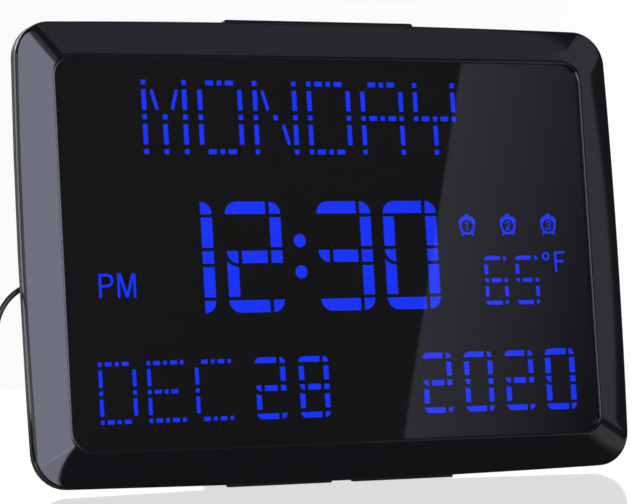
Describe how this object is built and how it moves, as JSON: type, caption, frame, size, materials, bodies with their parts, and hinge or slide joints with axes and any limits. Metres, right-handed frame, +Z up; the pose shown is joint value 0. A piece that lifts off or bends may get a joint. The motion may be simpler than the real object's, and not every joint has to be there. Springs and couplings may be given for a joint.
{
  "type": "day clock",
  "caption": "Desk or wall day clock: framed blue-lit display spelling out day, time, date and temperature, press bar on top, fold-out stand and mains lead.",
  "frame": {"origin": "on the ground, at the middle of the clock's width and of its depth, from the frame's front to the stand's shoe; the lead isn't counted", "axes": "+X to the clock's right as its reader sees it, +Y to the back, +Z up; the clock leans back 7.63 degrees on its stand"},
  "size_m": [0.3617, 0.1361, 0.2167],
  "materials": {
    "frame_black": "satin moulded black, light catching its rounded edges",
    "cover_black": "fine spark-textured black",
    "tinted_window": "clear acrylic with a grey tint, polished",
    "light_box_black": "dead black",
    "lit_blue": "frosted light pad, lit blue from behind",
    "board_green": "solder resist",
    "led_body": "clear resin",
    "chip_black": "moulded package",
    "can_metal": "plain",
    "sleeve_blue": "shrunk sleeve",
    "jack_black": "moulded",
    "cell_steel": "bright",
    "contact_brass": "plain",
    "speaker_grey": "dull",
    "spring_steel": "plain",
    "key_black": "satin",
    "bar_black": "polished",
    "ribbon_grey": "flat cable",
    "screw_steel": "bright",
    "screw_black": "blackened",
    "foot_rubber": "soft",
    "lead_black": "smooth flexible sheath",
    "tie_black": "plain",
    "adapter_black": "fine texture, polished edges",
    "blade_nickel": "plated"
  },
  "bodies": {
    "case": {"front_frame": "frame_black", "rear_cover": "cover_black", "display_lens": "tinted_window", "light_box": "light_box_black", "day_pads": "lit_blue", "time_pads": "lit_blue", "afternoon_label": "lit_blue", "month_pads": "lit_blue", "date_pads": "lit_blue", "year_pads": "lit_blue", "temperature_pads": "lit_blue", "degree_label": "lit_blue", "alarm_icons": "lit_blue", "display_board": "board_green", "display_leds": "led_body", "clock_chip": "chip_black", "driver_chips": "chip_black", "clock_crystal": "can_metal", "board_capacitors": "sleeve_blue", "thermistor": "chip_black", "dc_jack": "jack_black", "coin_cell": "cell_steel", "cell_contacts": "contact_brass", "alarm_speaker": "speaker_grey", "speaker_clamp": "spring_steel", "key_board": "board_green", "key_switches": "chip_black", "key_board_screws": "screw_steel", "snooze_board": "board_green", "snooze_switches": "spring_steel", "ribbon_cable": "ribbon_grey", "board_screws": "screw_steel", "case_screws": "screw_black", "front_feet": "foot_rubber", "stand_pin": "screw_steel", "lead_plug": "jack_black", "plug_relief": "jack_black", "lead_run": "lead_black", "lead_coil": "lead_black", "coil_tie": "tie_black", "lead_end": "lead_black", "adapter_grommet": "jack_black", "adapter_case": "adapter_black", "adapter_blades": "blade_nickel"},
    "stand": {"stand_leg": "cover_black", "stand_foot": "foot_rubber"},
    "door": {"battery_door": "cover_black"},
    "press_bar": {"snooze_bar": "bar_black"},
    "menu": {"menu_key": "key_black"},
    "minus": {"minus_key": "key_black"},
    "plus": {"plus_key": "key_black"},
    "alarm": {"alarm_key": "key_black"},
    "dimmer": {"dimmer_key": "key_black"}
  },
  "joints": [
    {"name": "stand_hinge", "type": "hinge", "parent": "case", "child": "stand", "pos_m": [0, -0.00469, 0.04174], "axis": [1, 0, 0], "range_deg": [0, 130]},
    {"name": "door_slide", "type": "slide", "parent": "case", "child": "door", "axis": [1, 0, 0], "range_m": [0, 0.01]},
    {"name": "press_bar_push", "type": "slide", "parent": "case", "child": "press_bar", "axis": [0, -0.1328, -0.9911], "range_m": [0, 0.001], "stiffness_N_per_m": 700, "springref_m": -0.0008},
    {"name": "menu_push", "type": "slide", "parent": "case", "child": "menu", "axis": [0, -0.9911, 0.1328], "range_m": [0, 0.001], "stiffness_N_per_m": 1200, "springref_m": -0.0004},
    {"name": "minus_push", "type": "slide", "parent": "case", "child": "minus", "axis": [0, -0.9911, 0.1328], "range_m": [0, 0.001], "stiffness_N_per_m": 1200, "springref_m": -0.0004},
    {"name": "plus_push", "type": "slide", "parent": "case", "child": "plus", "axis": [0, -0.9911, 0.1328], "range_m": [0, 0.001], "stiffness_N_per_m": 1200, "springref_m": -0.0004},
    {"name": "alarm_push", "type": "slide", "parent": "case", "child": "alarm", "axis": [0, -0.9911, 0.1328], "range_m": [0, 0.001], "stiffness_N_per_m": 1200, "springref_m": -0.0004},
    {"name": "dimmer_push", "type": "slide", "parent": "case", "child": "dimmer", "axis": [0, -0.9911, 0.1328], "range_m": [0, 0.001], "stiffness_N_per_m": 1200, "springref_m": -0.0004}
  ]
}
